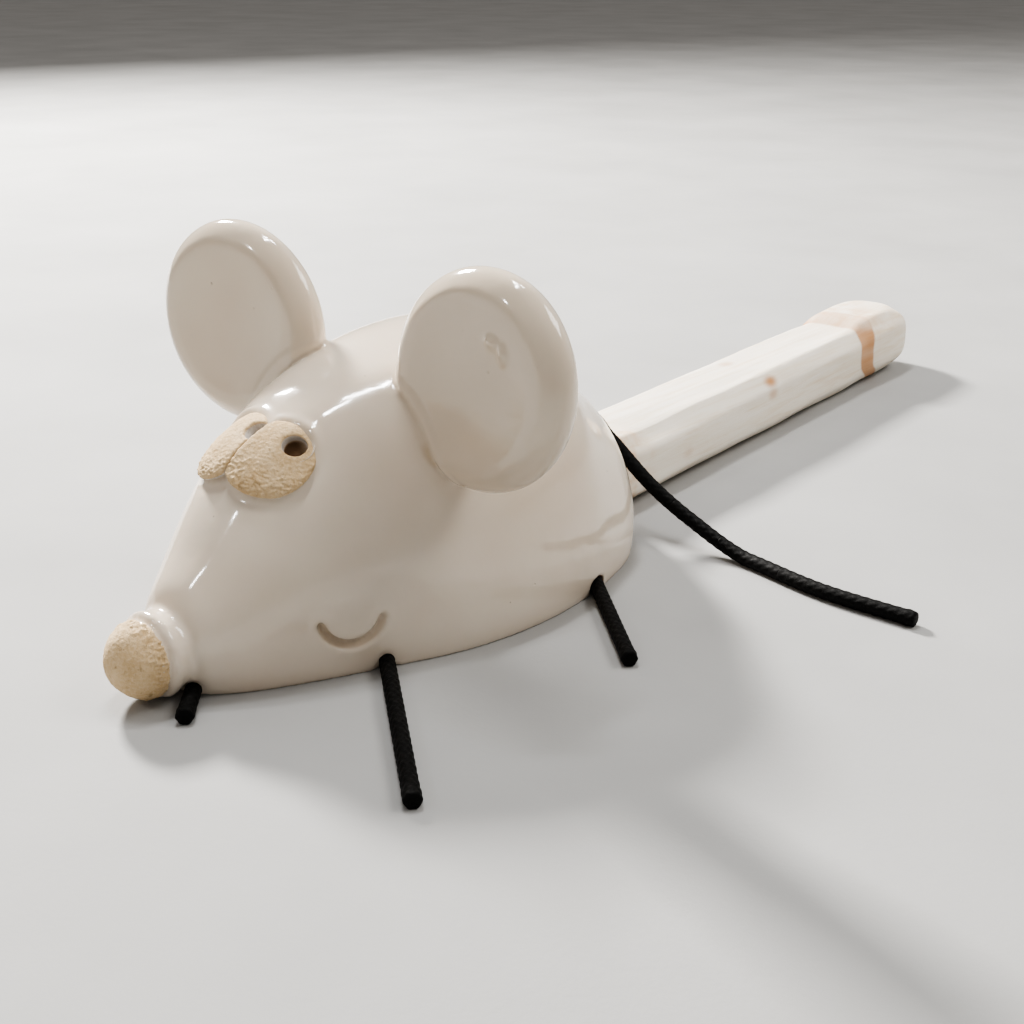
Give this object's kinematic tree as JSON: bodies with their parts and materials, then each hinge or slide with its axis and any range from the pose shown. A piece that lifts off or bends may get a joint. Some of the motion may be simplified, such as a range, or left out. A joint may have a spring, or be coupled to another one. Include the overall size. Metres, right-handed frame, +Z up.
{
  "type": "stoneware mouse figure on a wooden stake",
  "caption": "Glazed hollow clay mouse with a flat base, round ears, cord legs and cord tail that swing, and a pull-out wooden stake at the rear.",
  "frame": {"origin": "on the table, in the flat underside, below the middle of the body on its mid-plane", "axes": "the mouse faces -Y, its left side is +X, +Z is up; the stake leaves towards +Y"},
  "size_m": [0.154, 0.3033, 0.0751],
  "materials": {
    "glazed_clay": "glossy",
    "bare_clay": "rough, unglazed",
    "cord": "waxed braid",
    "wood": "whittled, unfinished"
  },
  "bodies": {
    "root": {"body_shell": "glazed_clay", "base_slab": "glazed_clay", "ear_left": "glazed_clay", "ear_right": "glazed_clay", "eye_left": "bare_clay", "eye_right": "bare_clay", "nose_button": "bare_clay", "stake_socket": "bare_clay", "leg_front_left_anchor": "cord", "leg_front_right_anchor": "cord", "leg_rear_left_anchor": "cord", "leg_rear_right_anchor": "cord", "tail_anchor": "cord"},
    "stake": {"stake": "wood"},
    "leg_front_left_upper": {"leg_front_left_upper": "cord"},
    "leg_front_left_lower": {"leg_front_left_lower": "cord"},
    "leg_front_right_lower": {"leg_front_right_lower": "cord"},
    "leg_rear_left_upper": {"leg_rear_left_upper": "cord"},
    "leg_rear_left_lower": {"leg_rear_left_lower": "cord"},
    "leg_rear_right_upper": {"leg_rear_right_upper": "cord"},
    "leg_rear_right_lower": {"leg_rear_right_lower": "cord"},
    "tail_base": {"tail_base": "cord"},
    "tail_upper": {"tail_upper": "cord"},
    "tail_middle_1": {"tail_middle_1": "cord"},
    "tail_middle_2": {"tail_middle_2": "cord"},
    "tail_lower": {"tail_lower": "cord"},
    "tail_tip": {"tail_tip": "cord"}
  },
  "joints": [
    {"name": "stake_slide", "type": "slide", "parent": "root", "child": "stake", "axis": [-0.0401, 0.9992, 0], "range_m": [0, 0.045]},
    {"name": "leg_front_left_swing", "type": "hinge", "parent": "root", "child": "leg_front_left_upper", "pos_m": [0.02689, -0.02677, 0.00165], "axis": [0, 0, 1], "range_deg": [-20, 20]},
    {"name": "leg_front_left_droop", "type": "hinge", "parent": "leg_front_left_upper", "child": "leg_front_left_lower", "pos_m": [0.03838, -0.03642, 0.00165], "axis": [0.6432, 0.7657, 0], "range_deg": [-20, 75]},
    {"name": "leg_front_right_droop", "type": "hinge", "parent": "root", "child": "leg_front_right_lower", "pos_m": [0.0078, -0.05781, 0.00165], "axis": [0.7324, 0.6808, 0], "range_deg": [0, 70]},
    {"name": "leg_rear_left_swing", "type": "hinge", "parent": "root", "child": "leg_rear_left_upper", "pos_m": [0.03678, 0.02576, 0.00165], "axis": [0, 0, 1], "range_deg": [-20, 20]},
    {"name": "leg_rear_left_droop", "type": "hinge", "parent": "leg_rear_left_upper", "child": "leg_rear_left_lower", "pos_m": [0.04569, 0.01772, 0.00165], "axis": [0.6696, 0.7427, 0], "range_deg": [-20, 75]},
    {"name": "leg_rear_right_swing", "type": "hinge", "parent": "root", "child": "leg_rear_right_upper", "pos_m": [-0.03678, 0.02576, 0.00165], "axis": [0, 0, 1], "range_deg": [-20, 20]},
    {"name": "leg_rear_right_droop", "type": "hinge", "parent": "leg_rear_right_upper", "child": "leg_rear_right_lower", "pos_m": [-0.04569, 0.01772, 0.00165], "axis": [0.6696, -0.7427, 0], "range_deg": [-20, 75]},
    {"name": "tail_swing", "type": "hinge", "parent": "root", "child": "tail_base", "pos_m": [0.0052, 0.0616, 0.0246], "axis": [0, 0, 1], "range_deg": [-3, 6]},
    {"name": "tail_lift", "type": "hinge", "parent": "tail_base", "child": "tail_upper", "pos_m": [0.012, 0.062, 0.0204], "axis": [-0.0476, -0.9989, 0], "range_deg": [-12, 40]},
    {"name": "tail_curl", "type": "hinge", "parent": "tail_upper", "child": "tail_middle_1", "pos_m": [0.0246, 0.0614, 0.0119], "axis": [0, 0, 1], "range_deg": [-10, 15]},
    {"name": "tail_curl_2", "type": "hinge", "parent": "tail_middle_1", "child": "tail_middle_2", "pos_m": [0.037, 0.0612, 0.0059], "axis": [0, 0, 1], "range_deg": [-10, 15]},
    {"name": "tail_curl_3", "type": "hinge", "parent": "tail_middle_2", "child": "tail_lower", "pos_m": [0.0515, 0.0599, 0.00165], "axis": [0, 0, 1], "range_deg": [-10, 15]},
    {"name": "tail_curl_4", "type": "hinge", "parent": "tail_lower", "child": "tail_tip", "pos_m": [0.072, 0.0561, 0.00165], "axis": [0, 0, 1], "range_deg": [-10, 15]}
  ],
  "couplings": [
    {"joint": "tail_curl_2", "follows": "tail_curl", "ratio": 1},
    {"joint": "tail_curl_3", "follows": "tail_curl", "ratio": 1},
    {"joint": "tail_curl_4", "follows": "tail_curl", "ratio": 1}
  ]
}
